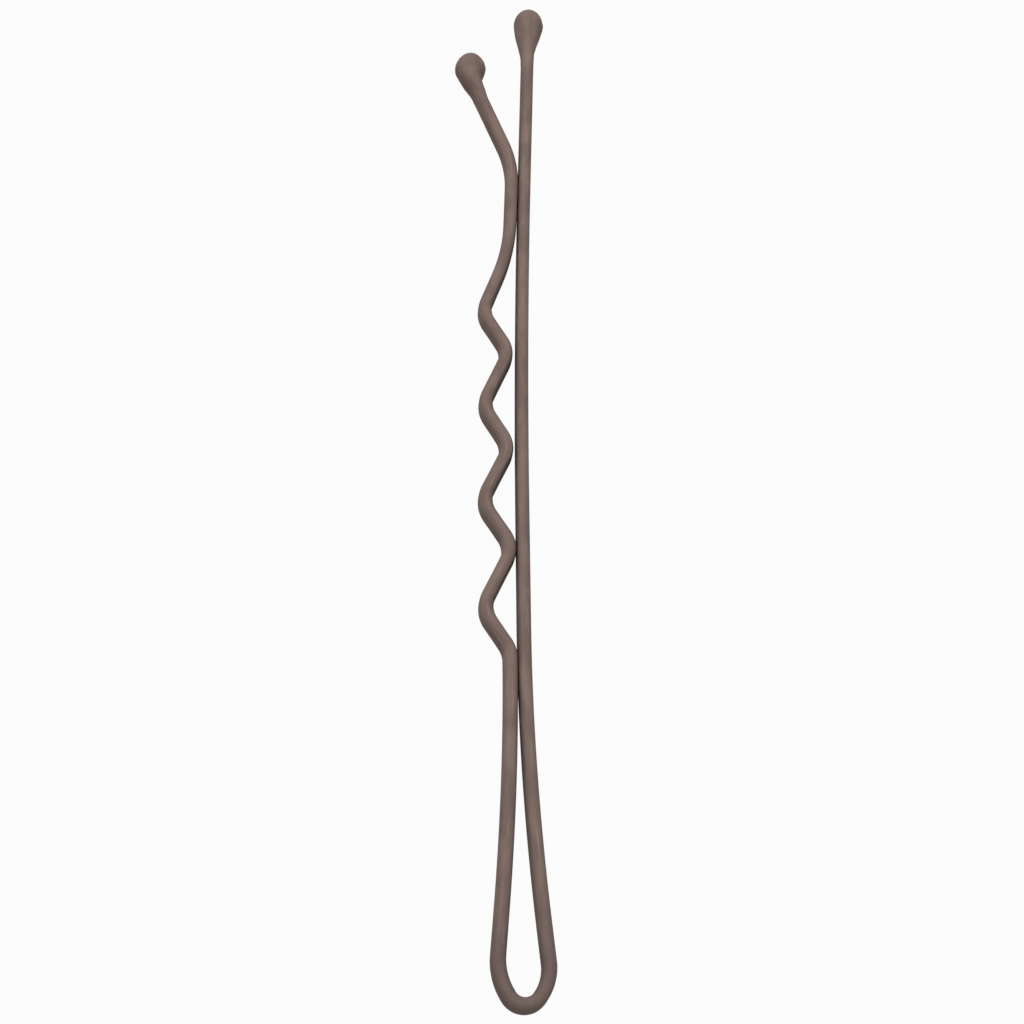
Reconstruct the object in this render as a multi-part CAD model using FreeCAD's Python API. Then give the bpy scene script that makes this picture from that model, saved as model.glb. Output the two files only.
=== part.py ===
import FreeCAD, Part
import collections
import math
import os

# Bobby pin lying flat: x across the legs, y along them towards the ball tips, z up.
# Lengths are in millimetres. Heights run along y from the outside of the loop's crown,
# and edges run across x from the centre line of the straight leg's upper run.

# Flat spring wire, rolled with round edges
wire_thickness = 0.63
wire_width = 1.08

# Straight leg: an upright upper run, a slight bow, then a flare towards the loop
straight_end_rise = 10.07
bow_height = 33.0
bow_radius = 600.0
flare_height = 10.48
flare_edge = 0.73
flare_radius = 132.0

# Loop: a tight crown that opens into a wider shoulder on each side, with radii inside the wire
crown_edge = 0.852
crown_inner_radius = 0.465
crown_half_turn = 58.0
right_shoulder_inner_radius = 1.78
left_shoulder_inner_radius = 2.42
shoulder_run = 0.1

# Crimped leg: a lower run that closes on the straight leg, then the crimps.
# A crimp's shares give the rise in pitches and the stand-off in depths, of its inner and then its outer crest.
lower_run_height = 9.5
lower_run_edge = 0.093
lower_run_radius = 132.0
first_crimp_rise = 6.18
crimp_pitch = 5.46
crimp_depth = 1.105
crimp_round_share = 0.716
crest_shares = (
    (0.0, 0.0, 0.475, 1.0),
    (1.013, 0.0, 1.494, 1.02),
    (2.009, 0.09, 2.469, 1.02),
    (3.005, 0.125, 3.482, 1.125),
)
contact_gap = 0.03

# Contact bulge above the crimps, and the turned-out end
bulge_stand_off = 0.05
bulge_foot_rise = 3.79
bulge_foot_radius = 12.0
bulge_length = 5.7
bulge_neck_radius = 6.5
turned_end_angle = 22.55
turned_end_length = 6.93

# Ball tips: drops of resin round the wire's ends, that on the crimped leg sagging to one side
straight_ball_radius = 0.825
straight_taper_length = 2.3
crimped_ball_radius = 0.865
crimped_ball_sag = 0.25
crimped_taper_length = 1.7
crimped_taper_overlap = 0.25
taper_shares = ((0.0, 0.0), (0.3, 0.1), (0.55, 0.5), (0.8, 0.9), (1.0, 1.0))
taper_wrap_share = 1.2
sagging_taper_share = 0.9

half_thickness = wire_thickness / 2
half_width = wire_width / 2
neck_in_plane = half_thickness * taper_wrap_share
neck_upright = half_width * taper_wrap_share
last_crest_share = crest_shares[-1][2]
bulge_foot_height = lower_run_height + first_crimp_rise + crimp_pitch * last_crest_share + bulge_foot_rise
bulge_neck_height = bulge_foot_height + bulge_length
straight_end_height = bulge_neck_height + straight_end_rise
up = FreeCAD.Vector(0, 0, 1)
along = FreeCAD.Vector(0, 1, 0)
across = FreeCAD.Vector(1, 0, 0)

# Most of a straight run that the rounding of a corner may take up
run_beside_former_share = 0.85
run_beside_corner_share = 0.5

# Crimps are rounded by a share of the radius at which one crest's arc would run straight into the next
half_pitch = crimp_pitch / 2
crimp_radius = crimp_round_share * (half_pitch ** 2 + crimp_depth ** 2) / (4 * crimp_depth)

# A bend is a former that the wire wraps, with turn its signed radius, or a corner that is rounded
Bend = collections.namedtuple("Bend", "place turn rounding")
Run = collections.namedtuple("Run", "start end direction room")


def left_of(direction):
    return up.cross(direction)


def heading(angle):
    return FreeCAD.Vector(math.cos(angle), math.sin(angle))


def former(edge, height, turn):
    """Bend of a leg that runs up, whose outermost point on the centre line lies at the edge."""
    return Bend(FreeCAD.Vector(edge - turn, height), turn, 0)


def corner(edge, height, rounding):
    return Bend(FreeCAD.Vector(edge, height), 0, rounding)


def straight_bends():
    """Wire end, bow and flare, from the tip down."""
    return [
        corner(0, straight_end_height, 0),
        corner(0, bow_height, bow_radius),
        corner(flare_edge, flare_height, flare_radius),
    ]


def loop_bends():
    """Right shoulder, crown and left shoulder."""
    crown = crown_inner_radius + half_thickness
    right = right_shoulder_inner_radius + half_thickness
    left = left_shoulder_inner_radius + half_thickness
    centre = FreeCAD.Vector(crown_edge, half_thickness + crown)
    up_right = heading(math.radians(crown_half_turn))
    up_left = heading(math.radians(180 - crown_half_turn))
    to_right = up_right * shoulder_run + left_of(up_right) * (right - crown)
    to_left = up_left * shoulder_run - left_of(up_left) * (left - crown)
    return [
        Bend(centre + to_right, -right, 0),
        Bend(centre, -crown, 0),
        Bend(centre + to_left, -left, 0),
    ]


def crimped_bends(straight_line):
    """Lower run, crimps, contact bulge and turned-out end, from the loop up."""
    crimps_height = lower_run_height + first_crimp_rise

    def beside_straight_leg(height, stand_off):
        level = FreeCAD.Vector(0, height)
        centre = straight_line.distToShape(Part.Line(level, level + across).toShape())[1][0][0].x
        return centre - wire_thickness - contact_gap - stand_off

    bends = [corner(lower_run_edge, lower_run_height, lower_run_radius)]
    for inner_rise_share, inner_share, outer_rise_share, outer_share in crest_shares:
        inner_height = crimps_height + crimp_pitch * inner_rise_share
        outer_height = crimps_height + crimp_pitch * outer_rise_share
        inner_edge = beside_straight_leg(inner_height, crimp_depth * inner_share)
        outer_edge = beside_straight_leg(outer_height, crimp_depth * outer_share)
        bends.append(former(inner_edge, inner_height, crimp_radius))
        bends.append(former(outer_edge, outer_height, -crimp_radius))
    foot_edge = beside_straight_leg(bulge_foot_height, bulge_stand_off)
    neck_edge = beside_straight_leg(bulge_neck_height, bulge_stand_off)
    bends.append(corner(foot_edge, bulge_foot_height, bulge_foot_radius))
    bends.append(corner(neck_edge, bulge_neck_height, bulge_neck_radius))
    turned_out = heading(math.radians(90 + turned_end_angle)) * turned_end_length
    bends.append(Bend(bends[-1].place + turned_out, 0, 0))
    return bends


def run_between(first, second):
    """Straight run that leaves one bend and meets the next."""
    span = second.place - first.place
    tilt = math.asin((second.turn - first.turn) / span.Length)
    direction = heading(math.atan2(span.y, span.x) - tilt)
    start = first.place - left_of(direction) * first.turn
    end = second.place - left_of(direction) * second.turn
    both_rounded = first.rounding and second.rounding
    share = run_beside_corner_share if both_rounded else run_beside_former_share
    return Run(start, end, direction, (end - start).Length * share)


def bend_arc(bend, before, after):
    """Three points of a bend's arc on the centre line."""
    if bend.turn:
        outward = left_of(before.direction + after.direction).normalize()
        return before.end, bend.place - outward * bend.turn, after.start
    half_turn = before.direction.getAngle(after.direction) / 2
    cut_back = min(bend.rounding * math.tan(half_turn), before.room, after.room)
    inward = (after.direction - before.direction).normalize()
    depth = cut_back * math.tan(half_turn / 2)
    return (bend.place - before.direction * cut_back, bend.place + inward * depth,
            bend.place + after.direction * cut_back)


def wire_path(bends):
    """Centre line: for each bend but the last, the edges of its arc and of the run that follows."""
    runs = [run_between(first, second) for first, second in zip(bends, bends[1:])]
    arcs = [bend_arc(*bend) for bend in zip(bends[1:], runs, runs[1:])]
    run_starts = [bends[0].place] + [arc[2] for arc in arcs]
    run_ends = [arc[0] for arc in arcs] + [bends[-1].place]
    straights = [Part.LineSegment(*ends).toShape() for ends in zip(run_starts, run_ends)]
    curves = [Part.Arc(*arc).toShape() for arc in arcs]
    return [[straights[0]]] + [list(stretch) for stretch in zip(curves, straights[1:])]


def wire_section(edge):
    """Round-edged flat section of the wire, at the start of an edge of the centre line."""
    start = edge.valueAt(edge.FirstParameter)
    side = left_of(edge.tangentAt(edge.FirstParameter)) * half_thickness
    flat = up * (half_width - half_thickness)
    round_edge = up * half_width
    return Part.Face(Part.Wire([
        Part.LineSegment(start + side - flat, start + side + flat).toShape(),
        Part.Arc(start + side + flat, start + round_edge, start - side + flat).toShape(),
        Part.LineSegment(start - side + flat, start - side - flat).toShape(),
        Part.Arc(start - side - flat, start - round_edge, start + side - flat).toShape(),
    ]))


def bent_wire(edges):
    """Flat wire along the centre line, extruded along its runs and revolved through its bends."""
    stretches = []
    for edge in edges:
        section = wire_section(edge)
        if isinstance(edge.Curve, Part.Circle):
            turn = math.degrees(edge.LastParameter - edge.FirstParameter)
            stretches.append(section.revolve(edge.Curve.Center, edge.Curve.Axis, turn))
        else:
            run = edge.valueAt(edge.LastParameter) - edge.valueAt(edge.FirstParameter)
            stretches.append(section.extrude(run))
    return stretches[0].multiFuse(stretches[1:]).Solids[0]


def taper(length, outer_swell, inner_swell, upright_swell):
    """Neck of a ball tip along y, from a film round the wire to the ball, with a swell for each side."""
    sections = []
    for station_share, swell_share in taper_shares:
        outer = neck_in_plane + outer_swell * swell_share
        inner = neck_in_plane + inner_swell * swell_share
        oval = FreeCAD.Matrix()
        oval.scale((outer + inner) / 2, 1, neck_upright + upright_swell * swell_share)
        section = Part.Wire([Part.makeCircle(1, FreeCAD.Vector(), along)]).transformGeometry(oval)
        section.translate(FreeCAD.Vector((inner - outer) / 2, length * station_share))
        sections.append(section)
    return Part.makeLoft(sections, True, False)


def straight_leg_tip(wire_end):
    """Drop whose taper runs smoothly into a dome, in line with the leg."""
    swell = straight_ball_radius - neck_in_plane
    neck = taper(straight_taper_length, swell, swell, straight_ball_radius - neck_upright)
    neck.translate(wire_end - along * straight_taper_length)
    dome = Part.makeSphere(straight_ball_radius, wire_end, along, 0, 90, 360)
    return neck.fuse(dome)


def crimped_leg_tip(wire_end, direction):
    """Ball that hangs to the inner side of the turned-out end, with a taper on the outer side."""
    outer_swell = (crimped_ball_radius - crimped_ball_sag - neck_in_plane) * sagging_taper_share
    upright_swell = (crimped_ball_radius - neck_upright) * sagging_taper_share
    neck = taper(crimped_taper_length, outer_swell, 0, upright_swell)
    neck.rotate(FreeCAD.Vector(), up, turned_end_angle)
    neck.translate(wire_end - direction * (crimped_taper_length + crimped_taper_overlap))
    ball = Part.makeSphere(crimped_ball_radius, wire_end - left_of(direction) * crimped_ball_sag)
    return neck.fuse(ball)


def build():
    """Every piece of the pin, by name."""
    loop_at = len(straight_bends())
    crimped_at = loop_at + len(loop_bends())
    lower_bends = straight_bends() + loop_bends()
    straight_edges = sum(wire_path(lower_bends)[:loop_at], [])
    stretches = wire_path(lower_bends + crimped_bends(Part.Wire(straight_edges)))
    left_shoulder, first_run = stretches[crimped_at - 1]
    loop_edges = sum(stretches[loop_at:crimped_at - 1], []) + [left_shoulder]
    crimped_edges = [first_run] + sum(stretches[crimped_at:], [])

    straight_leg = bent_wire(straight_edges)
    crimped_leg = bent_wire(crimped_edges)
    straight_end = straight_edges[0].valueAt(straight_edges[0].FirstParameter)
    last_run = crimped_edges[-1]
    crimped_end = last_run.valueAt(last_run.LastParameter)
    direction = last_run.tangentAt(last_run.LastParameter)
    return {
        "straight_leg": straight_leg,
        "spring_bend": bent_wire(loop_edges),
        "crimped_leg": crimped_leg,
        "straight_leg_tip": straight_leg_tip(straight_end).cut(straight_leg).Solids[0],
        "crimped_leg_tip": crimped_leg_tip(crimped_end, direction).cut(crimped_leg).Solids[0],
    }


def main():
    """Stand the pin on its lowest point, centred on the origin, and write every piece."""
    os.makedirs("parts", exist_ok=True)
    pieces = build()
    box = Part.makeCompound(list(pieces.values())).optimalBoundingBox(False)
    to_origin = FreeCAD.Vector(-box.Center.x, -box.Center.y, -box.ZMin)
    print("moved by", to_origin, "size", box.XLength, box.YLength, box.ZLength)
    for name, piece in pieces.items():
        piece.translate(to_origin)
        print(name, piece.ShapeType, len(piece.Solids), piece.isValid(), round(piece.Volume, 4))
        piece.exportStep("parts/" + name + ".step")


main()
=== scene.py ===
import math

import bmesh
import bpy
from mathutils import Matrix, Vector


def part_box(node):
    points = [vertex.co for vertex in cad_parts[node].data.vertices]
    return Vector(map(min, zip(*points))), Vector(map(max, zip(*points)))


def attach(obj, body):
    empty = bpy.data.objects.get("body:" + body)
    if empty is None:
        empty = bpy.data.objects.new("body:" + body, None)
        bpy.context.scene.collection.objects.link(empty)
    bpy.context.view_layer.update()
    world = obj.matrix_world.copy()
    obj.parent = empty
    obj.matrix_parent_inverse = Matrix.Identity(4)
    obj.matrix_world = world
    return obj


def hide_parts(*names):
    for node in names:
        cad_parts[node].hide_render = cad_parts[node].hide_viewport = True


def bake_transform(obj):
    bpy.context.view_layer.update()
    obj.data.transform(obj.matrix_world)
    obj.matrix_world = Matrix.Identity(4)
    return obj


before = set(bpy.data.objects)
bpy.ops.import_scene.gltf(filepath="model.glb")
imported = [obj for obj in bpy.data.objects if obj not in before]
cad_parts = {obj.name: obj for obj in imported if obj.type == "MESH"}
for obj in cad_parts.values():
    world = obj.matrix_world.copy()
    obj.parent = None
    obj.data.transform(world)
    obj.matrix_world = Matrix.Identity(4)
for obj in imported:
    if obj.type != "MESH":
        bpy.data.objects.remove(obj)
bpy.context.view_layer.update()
mm = 0.001
print("frame loaded:", sorted(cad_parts))


# the wire stands on edge: thin across the pin, tall off the table, with round edges

wire = {
    "thickness": 0.63 * mm,
    "width": 1.08 * mm,
    "sides": 40,                    # points round the section
    "ringStep": 0.4 * mm,           # longest stretch between two rings
    "bendStep": math.radians(2.5),  # largest turn between two rings
    "fewestSteps": 2,               # in a bend
    "cornerShare": 0.5,             # of a run between two rounded corners, the most one may use
    "formerShare": 0.85,            # the same beside a bend round a former
    "crown": 0.25,                  # how far the flats are rounded, 1 makes the section an oval
    "thinCoat": 0.005 * mm,         # enamel over the steel of the straight leg
    "thickCoat": 0.016 * mm,        # and of the crimped leg
    "endCoat": 0.024 * mm,          # enamel at the straight end, under the ball
    "endFade": 4,                   # and how soon it thins out below
    "gather": 0.02 * mm,            # enamel gathered inside a bend, at its tightest
    "gatherReach": 0.7 * mm,        # and how far it spreads along the wire
}
halfThickness = wire["thickness"] / 2
halfWidth = wire["width"] / 2
legLow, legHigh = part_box("straight_leg")
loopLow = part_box("spring_bend")[0]
# middle of the straight leg across and up, outside of the crown along
pinOrigin = Vector((legLow.x + halfThickness, loopLow.y, (legLow.z + legHigh.z) / 2))


def leftOf(direction):
    return Vector((-direction.y, direction.x, 0))


def heading(angle):
    return Vector((math.cos(angle), math.sin(angle), 0))


def former(edge, height, turn):  # the wire wraps a round former, turn is its signed radius
    return {"place": Vector((edge - turn, height, 0)), "turn": turn, "rounding": 0}


def corner(edge, height, rounding):  # the wire turns a rounded corner
    return {"place": Vector((edge, height, 0)), "turn": 0, "rounding": rounding}


def runBetween(first, second):
    span = second["place"] - first["place"]
    tilt = math.asin((second["turn"] - first["turn"]) / span.length)
    direction = heading(math.atan2(span.y, span.x) - tilt)
    start = first["place"] - leftOf(direction) * first["turn"]
    end = second["place"] - leftOf(direction) * second["turn"]
    bothRounded = first["rounding"] and second["rounding"]
    share = wire["cornerShare"] if bothRounded else wire["formerShare"]
    return {"start": start, "end": end, "direction": direction, "room": (end - start).length * share}


def bendBetween(bend, before, after):
    angle = -before["direction"].xy.angle_signed(after["direction"].xy)
    if bend["turn"]:
        return {"start": before["end"], "end": after["start"], "centre": bend["place"], "angle": angle}
    tangent = math.tan(abs(angle) / 2)
    cutBack = min(bend["rounding"] * tangent, before["room"], after["room"])
    start = bend["place"] - before["direction"] * cutBack
    end = bend["place"] + after["direction"] * cutBack
    centre = start + leftOf(before["direction"]) * math.copysign(cutBack / tangent, angle)
    return {"start": start, "end": end, "centre": centre, "angle": angle}


def stretchesOf(bends):  # for each bend but the last: its arc, then the run that follows
    runs = [runBetween(first, second) for first, second in zip(bends, bends[1:])]
    arcs = [bendBetween(*group) for group in zip(bends[1:], runs, runs[1:])]
    starts = [bends[0]["place"]] + [arc["end"] for arc in arcs]
    ends = [arc["start"] for arc in arcs] + [bends[-1]["place"]]
    straights = [{"start": start, "end": end, "direction": run["direction"]}
                 for start, end, run in zip(starts, ends, runs)]
    return [[straights[0]]] + [[arc, run] for arc, run in zip(arcs, straights[1:])]


# straight leg: upright at the top, a slight bow, then a flare towards the loop

straightLeg = {
    "endHeight": 54.252 * mm,
    "bowHeight": 33 * mm,
    "bowRadius": 600 * mm,
    "flareHeight": 10.48 * mm,
    "flareEdge": 0.73 * mm,
    "flareRadius": 132 * mm,
}


def straightBends():
    leg = straightLeg
    return [corner(0, leg["endHeight"], 0),
            corner(0, leg["bowHeight"], leg["bowRadius"]),
            corner(leg["flareEdge"], leg["flareHeight"], leg["flareRadius"])]


# loop: a tight crown between two wider shoulders, radii measured inside the wire

springLoop = {
    "crownEdge": 0.852 * mm,
    "crownRadius": 0.465 * mm,
    "crownHalfTurn": math.radians(58),
    "rightRadius": 1.78 * mm,
    "leftRadius": 2.42 * mm,
    "run": 0.1 * mm,   # straight wire between the crown and a shoulder
    "seamInset": 1.2,  # of half the wire's thickness
}


def loopBends():
    crown = springLoop["crownRadius"] + halfThickness
    right = springLoop["rightRadius"] + halfThickness
    left = springLoop["leftRadius"] + halfThickness
    centre = Vector((springLoop["crownEdge"], halfThickness + crown, 0))
    upRight = heading(springLoop["crownHalfTurn"])
    upLeft = heading(math.pi - springLoop["crownHalfTurn"])
    toRight = upRight * springLoop["run"] + leftOf(upRight) * (right - crown)
    toLeft = upLeft * springLoop["run"] - leftOf(upLeft) * (left - crown)
    return [{"place": centre + to, "turn": -radius, "rounding": 0}
            for to, radius in ((toRight, right), (Vector(), crown), (toLeft, left))]


# crimped leg: a lower run, four crimps, the contact bulge and the turned-out end

crimpedLeg = {
    "lowerHeight": 9.5 * mm,
    "lowerEdge": 0.093 * mm,
    "lowerRadius": 132 * mm,
    "firstRise": 6.18 * mm,
    "pitch": 5.46 * mm,
    "depth": 1.105 * mm,
    "roundShare": 0.716,  # of the radius at which two crests' arcs would meet
    "crests": (  # rise in pitches and stand-off in depths, of the inner and the outer crest
        (0, 0, 0.475, 1),
        (1.013, 0, 1.494, 1.02),
        (2.009, 0.09, 2.469, 1.02),
        (3.005, 0.125, 3.482, 1.125)),
    "contactGap": 0.03 * mm,
    "footGap": 0.05 * mm,   # further stand-off at the foot and the neck of the bulge
    "neckGap": 0.012 * mm,
    "footRise": 3.79 * mm,
    "footRadius": 12 * mm,
    "bulgeLength": 5.7 * mm,
    "neckRadius": 6.5 * mm,
    "endAngle": math.radians(22.85),
    "endLength": 6.93 * mm,
}


def straightLineAt(height, stretches):  # centre of the straight leg at a height
    for stretch in stretches:
        start, end = stretch["start"], stretch["end"]
        if end.y <= height <= start.y:
            if "centre" not in stretch:
                return start.lerp(end, (start.y - height) / (start.y - end.y)).x
            centre, radius = stretch["centre"], (start - stretch["centre"]).length
            reach = math.sqrt(radius ** 2 - (height - centre.y) ** 2)
            return centre.x + math.copysign(reach, start.x - centre.x)
    return 0


def crimpedBends(straightStretches):
    leg = crimpedLeg
    radius = leg["roundShare"] * ((leg["pitch"] / 2) ** 2 + leg["depth"] ** 2) / (4 * leg["depth"])

    def beside(height, standOff):
        centre = straightLineAt(height, straightStretches)
        return centre - wire["thickness"] - leg["contactGap"] - standOff

    bends = [corner(leg["lowerEdge"], leg["lowerHeight"], leg["lowerRadius"])]
    for innerRise, innerShare, outerRise, outerShare in leg["crests"]:
        inner = leg["lowerHeight"] + leg["firstRise"] + leg["pitch"] * innerRise
        outer = leg["lowerHeight"] + leg["firstRise"] + leg["pitch"] * outerRise
        bends.append(former(beside(inner, leg["depth"] * innerShare), inner, radius))
        bends.append(former(beside(outer, leg["depth"] * outerShare), outer, -radius))
    foot = outer + leg["footRise"]
    neck = foot + leg["bulgeLength"]
    bends.append(corner(beside(foot, leg["footGap"]), foot, leg["footRadius"]))
    bends.append(corner(beside(neck, leg["neckGap"]), neck, leg["neckRadius"]))
    end = bends[-1]["place"] + heading(math.pi / 2 + leg["endAngle"]) * leg["endLength"]
    bends.append(corner(end.x, end.y, 0))
    return bends


# modelling helpers

creaseAngle = math.radians(40)  # edges sharper than this stay crisp


def selectPoints(piece, wanted):
    mesh = bmesh.from_edit_mesh(piece.data)
    for point in mesh.verts:
        point.select = wanted(point)
    mesh.select_flush_mode()
    mesh.select_flush(True)
    bmesh.update_edit_mesh(piece.data)


def startRing(name, place, direction, across, upright, sides):  # upright oval ring, left in edit mode
    bpy.ops.object.select_all(action="DESELECT")
    turn = math.atan2(direction.y, direction.x) - math.pi / 2
    bpy.ops.mesh.primitive_circle_add(vertices=sides, radius=1, fill_type="NOTHING", location=place,
                                      rotation=(math.pi / 2, 0, turn))
    piece = bpy.context.object
    piece.name = name
    piece.scale = (across, upright, 1)
    bpy.ops.object.transform_apply(location=True, rotation=True, scale=True)
    bpy.ops.object.mode_set(mode="EDIT")
    bpy.ops.mesh.select_all(action="SELECT")
    return piece


def closeMesh(piece, sides):  # caps the first ring, turns the faces outwards and smooths the sides
    bpy.ops.mesh.select_mode(type="VERT")
    selectPoints(piece, lambda point: point.index < sides)
    bpy.ops.mesh.edge_face_add()
    bpy.ops.mesh.select_all(action="SELECT")
    bpy.ops.mesh.normals_make_consistent(inside=False)
    bpy.ops.object.mode_set(mode="OBJECT")
    bpy.ops.object.shade_smooth_by_angle(angle=creaseAngle)


def wireReach(angle, half):  # from the middle of the wire to its skin, at an angle from its flat side
    flat = halfWidth - half
    flatWise, edgeWise = abs(math.cos(angle)), abs(math.sin(angle))
    if half * edgeWise <= flat * flatWise:
        sharp = half / flatWise
    else:
        sharp = flat * edgeWise + math.sqrt(half ** 2 - (flat * flatWise) ** 2)
    oval = 1 / math.hypot(flatWise / half, edgeWise / halfWidth)
    return sharp + (oval - sharp) * wire["crown"]


def startWire(name, place, direction):  # a ring pushed out to the wire's section
    piece = startRing(name, place, direction, halfThickness, halfWidth, wire["sides"])
    left = leftOf(direction)
    mesh = bmesh.from_edit_mesh(piece.data)
    for point in mesh.verts:
        offset = point.co - place
        angle = math.atan2(offset.z, offset.dot(left))
        reach = wireReach(angle, halfThickness)
        point.co = place + left * (reach * math.cos(angle))
        point.co.z += reach * math.sin(angle)
    bmesh.update_edit_mesh(piece.data)
    return piece


def noteRing(rings, centre, left, along, curve):  # where a ring lies, for the coat and the finish
    span = along - rings[-1]["along"] if rings else wire["ringStep"]
    rings.append({"centre": centre, "left": left, "along": along, "curve": curve, "span": span})


def spinBend(stretch, rings):
    centre, angle = pinOrigin + stretch["centre"], stretch["angle"]
    spoke = pinOrigin + stretch["start"] - centre
    left, along = rings[-1]["left"], rings[-1]["along"]
    arc = spoke.length * abs(angle)
    steps = math.ceil(max(arc / wire["ringStep"], abs(angle) / wire["bendStep"], wire["fewestSteps"]))
    bpy.ops.mesh.spin(steps=steps, angle=-angle, center=centre, axis=(0, 0, 1))
    for step in range(1, steps + 1):
        turn = Matrix.Rotation(angle * step / steps, 3, "Z")
        noteRing(rings, centre + turn @ spoke, turn @ left, along + arc * step / steps, angle / arc)


def extrudeRun(stretch, rings):
    start = pinOrigin + stretch["start"]
    run = pinOrigin + stretch["end"] - start
    left, along = rings[-1]["left"], rings[-1]["along"]
    steps = math.ceil(run.length / wire["ringStep"])
    for step in range(1, steps + 1):
        bpy.ops.mesh.extrude_region_move(TRANSFORM_OT_translate={"value": run / steps})
        noteRing(rings, start + run * step / steps, left, along + run.length * step / steps, 0)


def evenBends(rings):  # the bend at each ring, evened out along the wire
    bends = []
    for ring in rings:
        ways = [(other["along"] - ring["along"]) / wire["gatherReach"] for other in rings]
        weights = [math.exp(-way ** 2) * other["span"] for way, other in zip(ways, rings)]
        bends.append(sum(weight * other["curve"] for weight, other in zip(weights, rings)) / sum(weights))
    return bends


def coatWire(piece, rings, startCoat, endCoat, fade, gather):  # swells the wire's skin, most inside the bends
    bends = evenBends(rings)
    tightest = max(abs(bend) for bend in bends)
    begin, length = rings[0]["along"], rings[-1]["along"] - rings[0]["along"]
    for index, point in enumerate(piece.data.vertices):
        number = index // wire["sides"]
        ring = rings[number]
        offset = point.co - ring["centre"]
        across, height = offset.dot(ring["left"]), offset.z
        toEnd = 1 - (ring["along"] - begin) / length
        coat = endCoat + (startCoat - endCoat) * toEnd ** fade
        inside = gather * abs(bends[number]) / tightest if across * bends[number] > 0 else 0
        point.co = ring["centre"] + ring["left"] * across * (1 + (coat + inside) / halfThickness)
        point.co.z += height * (1 + coat / halfWidth)


# runs are extruded and bends are spun, and the last ring stays selected for the next stretch
def bendWire(name, stretches, startLength, startCoat, endCoat, fade=1, gather=0):
    first = stretches[0]
    if "centre" in first:
        direction = leftOf(first["start"] - first["centre"]) * math.copysign(1, first["angle"])
    else:
        direction = first["direction"]
    direction = direction.normalized()
    place = pinOrigin + first["start"]
    piece = startWire(name, place, direction)
    rings = []
    noteRing(rings, place, leftOf(direction), startLength, 0)
    for stretch in stretches:
        if "centre" in stretch:
            spinBend(stretch, rings)
        else:
            extrudeRun(stretch, rings)
    bpy.ops.mesh.edge_face_add()  # caps the last ring
    closeMesh(piece, wire["sides"])
    straightened = piece.data.attributes.new("wireRun", "FLOAT_VECTOR", "POINT")  # place in the unbent wire
    for index, point in enumerate(piece.data.vertices):
        ring = rings[index // wire["sides"]]
        offset = point.co - ring["centre"]
        straightened.data[index].vector = (offset.dot(ring["left"]), ring["along"], offset.z)
    coatWire(piece, rings, startCoat, endCoat, fade, gather)
    length = rings[-1]["along"]
    print(name, "rings", len(rings), "wire length", round(length / mm, 2), "mm")
    return piece, length


# ball tips: resin drops, each grown ring by ring from the wire to the top of its dome

straightBall = {
    "radius": 0.812 * mm,
    "domeLength": 1.013 * mm,
    "setBack": 0.065 * mm,     # the widest ring lies this far below the end of the wire
    "sag": 0.006 * mm,         # the ball hangs this far to the inner side
    "lean": 0.019 * mm,        # and the top of its dome this much further
    "outerTaper": 3.12 * mm,
    "outerPower": 1.13,        # above 1 the taper thins out sooner
    "innerTaper": 3.16 * mm,
    "innerPower": 1.68,
    "innerCoat": 0.533 * mm,   # resin on the inner side of the wire, at the widest ring
    "notchRound": 0.05 * mm,
    "sides": 48,
    "taperRings": 30,
    "domeRings": 10,
}
crimpedBall = {
    "radius": 0.856 * mm,
    "domeLength": 0.977 * mm,
    "setBack": 0.113 * mm,
    "sag": 0.228 * mm,
    "lean": 0.276 * mm,
    "outerTaper": 2.2 * mm,
    "outerPower": 0.95,
    "innerTaper": 2.85 * mm,
    "innerPower": 0.7,
    "innerCoat": 0.283 * mm,   # less than the ball's own reach, so that a notch stays under the ball
    "notchRound": 0.07 * mm,
    "sides": 48,
    "taperRings": 36,
    "domeRings": 10,
}
skin = {
    "feather": 0.03 * mm,      # how far the first ring lies under the wire's skin
    "sunk": -0.02 * mm,        # cover over the wire at the first ring and above it
    "cover": 0.01 * mm,
    "rise": 0.6 * mm,          # length in which the cover comes up
    "blend": 0.03 * mm,
    "heightShare": 0.9,        # of the ball's height over the wire, what the taper reaches by itself
    "heightRound": 0.05 * mm,  # rounding where the ball rises out of the taper
    "poleShare": 0.25,         # of a step, what the dome's last ring stays short of its pole
    "softened": 1.6 * mm,      # how far below the widest ring the drop is smoothed
    "softening": 8,            # passes of smoothing
    "notchTop": 0.25 * mm,     # the notch on the inner side starts here and is smoothed some more
    "notchSoftening": 14,
    "softShare": 0.5,          # how far one pass moves a point towards its neighbours
}


def swell(share, power):
    return ((1 - math.cos(math.pi * max(share, 0))) / 2) ** power


def softMax(one, other, width):  # the larger of two, rounded where they cross
    gap = one - other
    return (one + other + math.sqrt(gap ** 2 + width ** 2)) / 2


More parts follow.
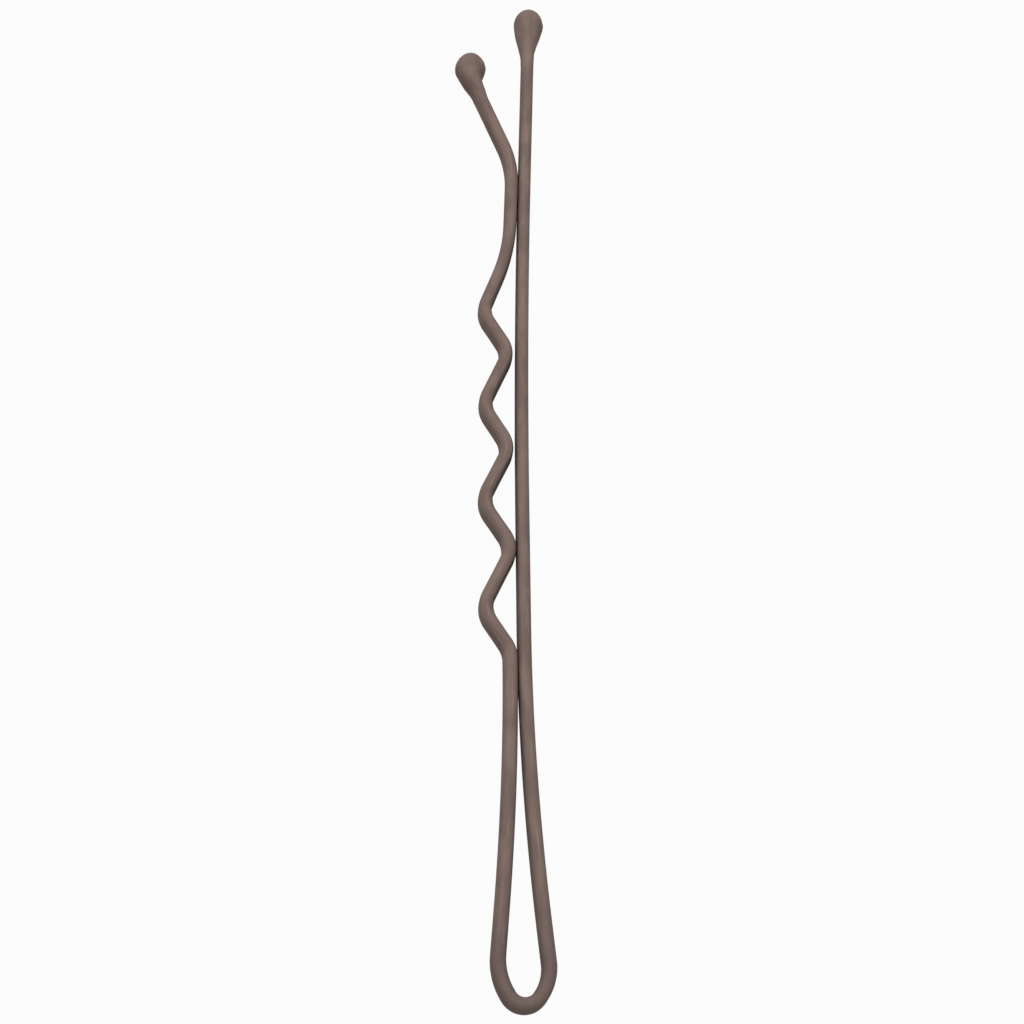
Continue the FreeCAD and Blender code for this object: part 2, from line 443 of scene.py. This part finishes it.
def taperRings(ball, equator, direction, half):  # each ring is (centre, half width across, half height)
    inward = -leftOf(direction)
    thin, tall = half - skin["feather"], halfWidth - skin["feather"]
    longest = max(ball["outerTaper"], ball["innerTaper"])
    meanPower = (ball["outerPower"] + ball["innerPower"]) / 2
    rings = []
    for number in range(ball["taperRings"] + 1):
        share = number / ball["taperRings"]
        below = longest * (1 - share)
        belowShare = min(below / ball["radius"], 1)
        reach = ball["radius"] * math.sqrt(1 - belowShare ** 2)  # the ball's own round at this ring
        outer = swell(1 - below / ball["outerTaper"], ball["outerPower"])
        inner = swell(1 - below / ball["innerTaper"], ball["innerPower"])
        outward = thin + (ball["radius"] - ball["sag"] - thin) * outer
        inside = thin + ball["innerCoat"] * inner
        if belowShare < 1:
            inside = softMax(inside, ball["sag"] + reach, ball["notchRound"] * (1 - share))
        upright = tall + (ball["radius"] - tall) * skin["heightShare"] * swell(share, meanPower)
        upright = softMax(upright, reach, skin["heightRound"] * (1 - share))
        centre = equator - direction * below + inward * ((inside - outward) / 2)
        rings.append((centre, (inside + outward) / 2, upright))
    return rings


def domeRings(ball, equator, direction):
    inward = -leftOf(direction)
    rings = []
    for number in range(1, ball["domeRings"] + 1):
        angle = math.pi / 2 * number / (ball["domeRings"] + skin["poleShare"])
        radius = ball["radius"] * math.cos(angle)
        aside = ball["sag"] + ball["lean"] * (1 - math.cos(angle))
        centre = equator + direction * ball["domeLength"] * math.sin(angle) + inward * aside
        rings.append((centre, radius, radius))
    return rings


def growDrop(name, rings, direction, sides):
    centre, across, upright = rings[0]
    piece = startRing(name, centre, direction, across, upright, sides)
    turn = Matrix.Rotation(math.atan2(direction.y, direction.x) - math.pi / 2, 3, "Z")
    for (centre, across, upright), (nextCentre, nextAcross, nextUpright) in zip(rings, rings[1:]):
        bpy.ops.mesh.extrude_region_move(TRANSFORM_OT_translate={"value": nextCentre - centre})
        bpy.ops.transform.resize(value=(nextAcross / across, 1, nextUpright / upright), orient_type="GLOBAL",
                                 orient_matrix=turn, orient_matrix_type="GLOBAL",
                                 center_override=nextCentre)
    bpy.ops.mesh.merge(type="CENTER")  # the pole of the dome
    closeMesh(piece, sides)
    return piece


def coverWire(piece, ball, end, direction, half):  # resin over the whole wire, thinning out into its skin
    longest = max(ball["outerTaper"], ball["innerTaper"])
    left = leftOf(direction)
    for point in piece.data.vertices:
        offset = point.co - end
        along, aside = offset.dot(direction), offset.dot(left)
        below = -along - ball["setBack"]
        if below > 0:
            angle = math.atan2(offset.z, aside)
            rise = min((longest - below) / skin["rise"], 1)
            cover = skin["sunk"] + (skin["cover"] - skin["sunk"]) * rise
            reach = softMax(math.hypot(aside, offset.z), wireReach(angle, half) + cover, skin["blend"])
            point.co = end + direction * along + left * (reach * math.cos(angle))
            point.co.z += reach * math.sin(angle)


def softenDrop(piece, ball, equator, direction):
    left = leftOf(direction)

    def isBelow(point, top):
        return top < (equator - point.co).dot(direction) < skin["softened"]

    def inNotch(point):
        return isBelow(point, skin["notchTop"]) and (equator - point.co).dot(left) > ball["sag"]

    bpy.ops.object.mode_set(mode="EDIT")
    selectPoints(piece, lambda point: isBelow(point, 0))
    bpy.ops.mesh.vertices_smooth(factor=skin["softShare"], repeat=skin["softening"])
    selectPoints(piece, inNotch)
    bpy.ops.mesh.vertices_smooth(factor=skin["softShare"], repeat=skin["notchSoftening"])
    bpy.ops.object.mode_set(mode="OBJECT")


# travel is 1 where the wire runs up into the ball, and -1 where it starts in the ball
def makeBall(name, ball, wireEnd, direction, travel, length, half):
    end = pinOrigin + wireEnd
    equator = end - direction * ball["setBack"]
    rings = taperRings(ball, equator, direction, half) + domeRings(ball, equator, direction)
    piece = growDrop(name, rings, direction, ball["sides"])
    coverWire(piece, ball, end, direction, half)
    softenDrop(piece, ball, equator, direction)
    left = leftOf(direction)
    straightened = piece.data.attributes.new("wireRun", "FLOAT_VECTOR", "POINT")
    for index, point in enumerate(piece.data.vertices):
        offset = point.co - end
        across, along = offset.dot(left) * travel, length + offset.dot(direction) * travel
        straightened.data[index].vector = (across, along, offset.z)
    print(name, "rings", len(rings))
    return piece


# finishes, laid out on the unbent wire so that they run round the bends and on over the balls

enamel = {
    "warm": (0.211, 0.152, 0.128, 1),
    "mauve": (0.166, 0.117, 0.103, 1),
    "pale": (0.3, 0.235, 0.205, 1),
    "roughness": 0.7,
    "specular": 0.1,
    "blotchRange": (0.34, 0.66),      # noise levels where mauve starts to turn warm and where it is all warm
    "streakFrom": 0.52,               # noise level where a streak starts to turn pale
    "wireStreakTo": 0.95,             # and where it is all pale, on the wire and on the balls
    "ballStreakTo": 1.05,
    "speckRange": (0.74, 0.86),
    "speckMost": 0.3,
    "streakBump": (0.008 * mm, 0.35),  # depth and strength
    "grainBump": (0.006 * mm, 0.4),
}
coatNoise = {  # stretch across, along and up the wire, then scale and detail
    "streaks": ((1, 0.06, 1), 9000, 3),   # drawing lines along the wire
    "blotches": ((1, 0.45, 1), 1300, 2),  # uneven coat
    "specks": ((1, 0.7, 1), 5200, 1),     # small light specks
    "grain": ((1, 1, 1), 24000, 2),       # fine matte grain
}
innerPaintedShade = {                   # painted shade on the flats that face each other, where each leg keeps light off the other
    "colour": (0.06, 0.044, 0.038, 1),
    "from": -0.2 * mm,          # place across the wire where it starts
    "to": -0.325 * mm,          # and where it is full
    "most": 0.85,
    "bare": 3.5 * mm,           # length at each end of the wire without it
    "full": 16 * mm,            # distance from each end where it is full
    "loopShare": 0.3,           # what is left of it in the loop
    "loopReach": (6 * mm, 24 * mm),  # distance from the crown where it starts to grow and where it is full
}
loopPaintedShade = {                    # painted shade in the loop, darkest at the crown
    "colour": (0.12, 0.085, 0.08, 1),
    "most": 0.5,
    "reach": (5 * mm, 1 * mm),  # distance from the crown where it starts and where it is full
}


def newMaterial(name):
    material = bpy.data.materials.new(name)
    material.use_nodes = True
    nodes, links = material.node_tree.nodes, material.node_tree.links
    return material, nodes, links, nodes["Principled BSDF"]


def addNoise(nodes, links, place, stretch, scale, detail):  # noise on a stretched place
    mapping = nodes.new("ShaderNodeMapping")
    mapping.inputs["Scale"].default_value = stretch
    noise = nodes.new("ShaderNodeTexNoise")
    noise.inputs["Scale"].default_value = scale
    noise.inputs["Detail"].default_value = detail
    links.new(place, mapping.inputs["Vector"])
    links.new(mapping.outputs["Vector"], noise.inputs["Vector"])
    return noise.outputs["Fac"]


def addRamp(nodes, links, value, low, high, most=1, least=0):
    ramp = nodes.new("ShaderNodeMapRange")
    ramp.interpolation_type = "SMOOTHSTEP"
    ramp.inputs["From Min"].default_value = low
    ramp.inputs["From Max"].default_value = high
    ramp.inputs["To Min"].default_value = least
    ramp.inputs["To Max"].default_value = most
    links.new(value, ramp.inputs["Value"])
    return ramp.outputs["Result"]


def addMath(nodes, links, operation, first, second=0):
    step = nodes.new("ShaderNodeMath")
    step.operation = operation
    for socket, value in zip(step.inputs, (first, second)):
        if isinstance(value, (int, float)):
            socket.default_value = value
        else:
            links.new(value, socket)
    return step.outputs[0]


def addMix(nodes, links, share, first, second):
    mix = nodes.new("ShaderNodeMix")
    mix.data_type = "RGBA"
    links.new(share, mix.inputs["Factor"])
    for socket, colour in ((mix.inputs[6], first), (mix.inputs[7], second)):  # the node's colour sockets
        if isinstance(colour, tuple):
            socket.default_value = colour
        else:
            links.new(colour, socket)
    return mix.outputs[2]


def addBump(nodes, links, height, distance, strength, below=None):
    bump = nodes.new("ShaderNodeBump")
    bump.inputs["Distance"].default_value = distance
    bump.inputs["Strength"].default_value = strength
    links.new(height, bump.inputs["Height"])
    if below:
        links.new(below, bump.inputs["Normal"])
    return bump.outputs["Normal"]


def addCoat(nodes, links, noise, streakTo):  # mauve and warm blotches under pale streaks and specks
    warmth = addRamp(nodes, links, noise["blotches"], *enamel["blotchRange"])
    drawn = addRamp(nodes, links, noise["streaks"], enamel["streakFrom"], streakTo)
    flecks = addRamp(nodes, links, noise["specks"], *enamel["speckRange"], most=enamel["speckMost"])
    cloudy = addMix(nodes, links, warmth, enamel["mauve"], enamel["warm"])
    streaky = addMix(nodes, links, drawn, cloudy, enamel["pale"])
    return addMix(nodes, links, flecks, streaky, enamel["pale"])


# paints shade on the inner flats of the legs, fading out at the wire's ends and in the loop
def addInnerPaintedShade(nodes, links, colour, across, along, fromLoop, wireLength):
    bare, full = innerPaintedShade["bare"], innerPaintedShade["full"]
    facingShadeMask = addRamp(nodes, links, across, innerPaintedShade["from"], innerPaintedShade["to"], innerPaintedShade["most"])
    pastLoop = addRamp(nodes, links, fromLoop, *innerPaintedShade["loopReach"], least=innerPaintedShade["loopShare"])
    pastStart = addRamp(nodes, links, along, bare, full)
    beforeEnd = addRamp(nodes, links, along, wireLength - bare, wireLength - full)
    onLegs = addMath(nodes, links, "MULTIPLY", pastStart, beforeEnd)
    share = addMath(nodes, links, "MULTIPLY", facingShadeMask, addMath(nodes, links, "MULTIPLY", pastLoop, onLegs))
    return addMix(nodes, links, share, colour, innerPaintedShade["colour"])


def makeFinish(name, streakTo, crownAt, wireLength):
    material, nodes, links, shader = newMaterial(name)
    place = nodes.new("ShaderNodeAttribute")
    place.attribute_name = "wireRun"
    run = place.outputs["Vector"]
    split = nodes.new("ShaderNodeSeparateXYZ")
    links.new(run, split.inputs["Vector"])
    across, along = split.outputs["X"], split.outputs["Y"]
    fromLoop = addMath(nodes, links, "ABSOLUTE", addMath(nodes, links, "SUBTRACT", along, crownAt))
    noise = {mark: addNoise(nodes, links, run, *setting) for mark, setting in coatNoise.items()}
    # paints shade into the loop, darker towards the crown
    loopShadeShare = addRamp(nodes, links, fromLoop, *loopPaintedShade["reach"], most=loopPaintedShade["most"])
    loopShaded = addMix(nodes, links, loopShadeShare, addCoat(nodes, links, noise, streakTo), loopPaintedShade["colour"])
    # painted shade on the inner flats, where the legs face each other
    paintedShadeColour = addInnerPaintedShade(nodes, links, loopShaded, across, along, fromLoop, wireLength)
    lines = addBump(nodes, links, noise["streaks"], *enamel["streakBump"])
    grained = addBump(nodes, links, noise["grain"], *enamel["grainBump"], below=lines)
    links.new(paintedShadeColour, shader.inputs["Base Color"])
    links.new(grained, shader.inputs["Normal"])
    shader.inputs["Roughness"].default_value = enamel["roughness"]
    shader.inputs["Specular IOR Level"].default_value = enamel["specular"]
    return material


# build the pin

lowerBends = straightBends() + loopBends()
loopAt = len(straightBends())
crimpedAt = len(lowerBends)
straightStretches = sum(stretchesOf(lowerBends)[:loopAt], [])
allStretches = stretchesOf(lowerBends + crimpedBends(straightStretches))
leftShoulder, firstRun = allStretches[crimpedAt - 1]
loopStretches = sum(allStretches[loopAt:crimpedAt - 1], []) + [leftShoulder]
crimpedStretches = [firstRun] + sum(allStretches[crimpedAt:], [])

endCoat, thinCoat, thickCoat = wire["endCoat"], wire["thinCoat"], wire["thickCoat"]
straightPiece, loopFrom = bendWire("straightLeg", straightStretches, 0, endCoat, thinCoat,
                                   fade=wire["endFade"])
loopPiece, loopTo = bendWire("springLoop", loopStretches, loopFrom, thinCoat, thickCoat)
crimpedPiece, runLength = bendWire("crimpedLeg", crimpedStretches, loopTo, thickCoat, thickCoat,
                                   gather=wire["gather"])
straightEnd, straightUp = straightStretches[0]["start"], Vector((0, 1, 0))
straightBallPiece = makeBall("straightLegBall", straightBall, straightEnd, straightUp,
                             travel=-1, length=0, half=halfThickness + endCoat)
crimpedEnd, crimpedUp = crimpedStretches[-1]["end"], crimpedStretches[-1]["direction"]
crimpedBallPiece = makeBall("crimpedLegBall", crimpedBall, crimpedEnd, crimpedUp,
                            travel=1, length=runLength, half=halfThickness + thickCoat)
print("pin modelled")

crownAt = (loopFrom + loopTo) / 2
enamelFinish = makeFinish("matteEnamel", enamel["wireStreakTo"], crownAt, runLength)
resinFinish = makeFinish("matteResin", enamel["ballStreakTo"], crownAt, runLength)
for piece in (straightPiece, loopPiece, crimpedPiece):
    piece.data.materials.append(enamelFinish)
for piece in (straightBallPiece, crimpedBallPiece):
    piece.data.materials.append(resinFinish)
print("finishes laid")

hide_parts("straight_leg")
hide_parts("spring_bend")
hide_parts("crimped_leg")
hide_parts("straight_leg_tip")
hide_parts("crimped_leg_tip")
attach(straightPiece, "straight_leg")
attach(straightBallPiece, "straight_leg")
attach(crimpedPiece, "crimped_leg")
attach(crimpedBallPiece, "crimped_leg")
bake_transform(loopPiece)


# floor, light and camera

studio = {
    "floorSize": 1.6,
    "floorColour": (0.3, 0.3, 0.3, 1),
    "floorRoughness": 0.9,
    "floorGlow": 0.96,       # share of the floor that the camera sees as plain white
    "backdrop": (0.972, 0.972, 0.972, 1),  # white behind the floor, at the floor's level
    "tent": (1, 1, 1, 1),
    "horizon": 0.28,         # brightness of the tent at its foot and at its top
    "zenith": 0.89,
    "keyPower": 0.65,
    "keySize": 0.2,
    "keyPlace": (-0.1, 0.2, 0.28),
}


def addSeen(nodes, links):  # 1 for what the camera sees, also in gloss and through glass
    rays = nodes.new("ShaderNodeLightPath")
    direct = addMath(nodes, links, "MAXIMUM", rays.outputs["Is Camera Ray"], rays.outputs["Is Glossy Ray"])
    return addMath(nodes, links, "MAXIMUM", direct, rays.outputs["Is Transmission Ray"])


def mixShaders(nodes, links, share, first, second, output):
    mix = nodes.new("ShaderNodeMixShader")
    for source, socket in zip((share, first, second), mix.inputs):
        links.new(source, socket)
    links.new(mix.outputs["Shader"], nodes[output].inputs["Surface"])


def makeFloor():
    bpy.ops.object.select_all(action="DESELECT")
    bpy.ops.mesh.primitive_plane_add(size=studio["floorSize"])
    floor = bpy.context.object
    floor.name = "floor"
    material, nodes, links, shader = newMaterial("paperSweep")
    shader.inputs["Base Color"].default_value = studio["floorColour"]
    shader.inputs["Roughness"].default_value = studio["floorRoughness"]
    shader.inputs["Specular IOR Level"].default_value = 0
    glow = nodes.new("ShaderNodeEmission")
    share = addMath(nodes, links, "MULTIPLY", addSeen(nodes, links), studio["floorGlow"])
    mixShaders(nodes, links, share, shader.outputs["BSDF"], glow.outputs["Emission"], "Material Output")
    floor.data.materials.append(material)


def makeSky():
    world = bpy.data.worlds.new("softTent")
    bpy.context.scene.world = world
    world.use_nodes = True
    nodes, links = world.node_tree.nodes, world.node_tree.links
    sky = nodes["Background"]
    sky.inputs["Color"].default_value = studio["tent"]
    place = nodes.new("ShaderNodeTexCoord")
    height = nodes.new("ShaderNodeSeparateXYZ")
    rise = nodes.new("ShaderNodeMapRange")
    rise.inputs["To Min"].default_value = studio["horizon"]
    rise.inputs["To Max"].default_value = studio["zenith"]
    links.new(place.outputs["Generated"], height.inputs["Vector"])
    links.new(height.outputs["Z"], rise.inputs["Value"])
    links.new(rise.outputs["Result"], sky.inputs["Strength"])
    white = nodes.new("ShaderNodeBackground")
    white.inputs["Color"].default_value = studio["backdrop"]
    seen = addSeen(nodes, links)
    mixShaders(nodes, links, seen, sky.outputs["Background"], white.outputs["Background"], "World Output")


def makeKey():
    bpy.ops.object.light_add(type="AREA", location=studio["keyPlace"])
    key = bpy.context.object
    key.name = "keyLight"
    key.data.size = studio["keySize"]
    key.data.energy = studio["keyPower"]
    key.rotation_euler = Vector(studio["keyPlace"]).to_track_quat("Z", "Y").to_euler()


view = {
    "place": (-6.8815 * mm, -42.3854 * mm, 72.0138 * mm),
    "right": (0.99267, 0.02328, 0.11855),
    "up": (-0.07623, 0.88200, 0.46507),
    "lens": 60,
    "sensor": 36,
    "nearest": 1 * mm,  # nothing closer to the lens is drawn
}


def makeCamera():
    data = bpy.data.cameras.new("tableCamera")
    camera = bpy.data.objects.new("tableCamera", data)
    bpy.context.scene.collection.objects.link(camera)
    right, up = Vector(view["right"]), Vector(view["up"])
    turn = Matrix((right, up, right.cross(up))).transposed()
    camera.matrix_world = Matrix.Translation(view["place"]) @ turn.to_4x4()
    data.lens = view["lens"]
    data.sensor_width = view["sensor"]
    data.clip_start = view["nearest"]
    bpy.context.scene.camera = camera


makeFloor()
makeSky()
makeKey()
makeCamera()
bpy.context.scene.view_settings.view_transform = "Standard"
print("studio set")
